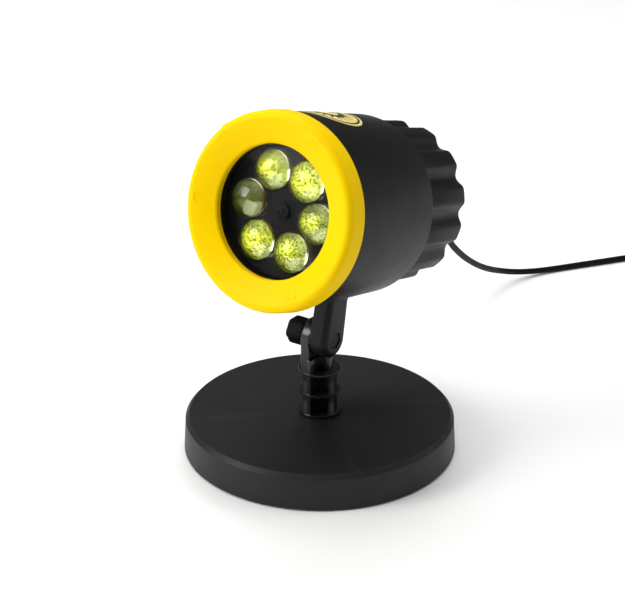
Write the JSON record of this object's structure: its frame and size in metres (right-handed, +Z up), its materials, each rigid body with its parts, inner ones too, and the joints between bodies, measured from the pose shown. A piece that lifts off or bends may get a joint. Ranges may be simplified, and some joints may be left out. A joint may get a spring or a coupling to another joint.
{
  "type": "light projector on a weighted base",
  "caption": "Cylindrical rotating-lens light projector with a coloured front ring, tilting on a clamp stem over a round weighted base, with its low-voltage lead.",
  "frame": {"origin": "centre of the round base's underside, on the ground", "axes": "+Z up, -Y the way the head looks, +X the side of the hex bolt head, -X the side of the clamp knob"},
  "size_m": [0.2187, 0.5493, 0.2019],
  "materials": {
    "black_plastic": "satin-matte moulded black",
    "black_rubber": "matte black",
    "cord_jacket": "soft black PVC",
    "adapter_plastic": "fine-grained black",
    "yellow_plastic": "satin-gloss yellow",
    "clear_plastic": "clear, polished",
    "slide_film": "printed film",
    "zinc_steel": "zinc-plated",
    "black_steel": "black oxide",
    "nickel_pins": "nickel-plated",
    "ballast_iron": "raw cast",
    "heat_sink_aluminium": "mill finish",
    "brass": "turned",
    "circuit_board": "solder-masked",
    "led": "phosphor dome",
    "label": "printed label"
  },
  "bodies": {
    "base": {"base_shell": "black_plastic", "ballast_plate": "ballast_iron", "bottom_cover": "black_plastic", "foot_pad": "black_rubber", "cover_screw_1": "zinc_steel", "cover_screw_2": "zinc_steel", "cover_screw_3": "zinc_steel", "cover_screw_4": "zinc_steel", "stem_post": "black_plastic", "stem_screw": "zinc_steel", "clamp_washer": "zinc_steel", "power_cord": "cord_jacket", "cord_coil": "cord_jacket", "coil_tie": "cord_jacket", "cord_tail": "cord_jacket", "adapter_relief": "cord_jacket", "adapter_case": "adapter_plastic", "adapter_cover": "adapter_plastic", "adapter_pin_1": "nickel_pins", "adapter_pin_2": "nickel_pins"},
    "head": {"barrel_shell": "black_plastic", "badge_plate": "label", "front_window": "clear_plastic", "window_gasket": "black_rubber", "lens_tube": "black_plastic", "slide_clamp_ring": "zinc_steel", "slide_disc": "slide_film", "motor_bracket": "black_plastic", "wheel_motor": "zinc_steel", "condenser_lens": "clear_plastic", "condenser_retainer": "zinc_steel", "led_board": "circuit_board", "led_emitter": "led", "heat_sink": "heat_sink_aluminium", "driver_board": "circuit_board", "rear_cap": "black_plastic", "cap_screw_1": "zinc_steel", "cap_screw_2": "zinc_steel", "cap_screw_3": "zinc_steel", "cap_screw_4": "zinc_steel", "cable_gland": "black_rubber", "clamp_bolt": "black_steel"},
    "bezel": {"bezel_ring": "yellow_plastic"},
    "wheel": {"lens_wheel": "black_plastic", "wheel_screw": "zinc_steel", "motor_shaft": "zinc_steel", "wheel_lens_1": "clear_plastic", "wheel_lens_2": "clear_plastic", "wheel_lens_3": "clear_plastic", "wheel_lens_4": "clear_plastic", "wheel_lens_5": "clear_plastic", "wheel_lens_6": "clear_plastic"},
    "knob": {"clamp_knob": "black_plastic", "knob_insert": "brass"}
  },
  "joints": [
    {"name": "head_tilt", "type": "hinge", "parent": "base", "child": "head", "pos_m": [0, 0, 0.0651], "axis": [1, 0, 0], "range_deg": [-60, 60], "deforming": ["power_cord"]},
    {"name": "knob_turn", "type": "hinge", "parent": "base", "child": "knob", "pos_m": [-0.0128, 0, 0.0651], "axis": [-1, 0, 0], "range_deg": [0, 360]},
    {"name": "bezel_turn", "type": "hinge", "parent": "head", "child": "bezel", "pos_m": [0.004, -0.05319, 0.15375], "axis": [0, -0.9711, 0.2385], "range_deg": [0, 30]},
    {"name": "wheel_spin", "type": "hinge", "parent": "head", "child": "wheel", "pos_m": [0.004, -0.05319, 0.15375], "axis": [0, -0.9711, 0.2385], "continuous": true}
  ]
}
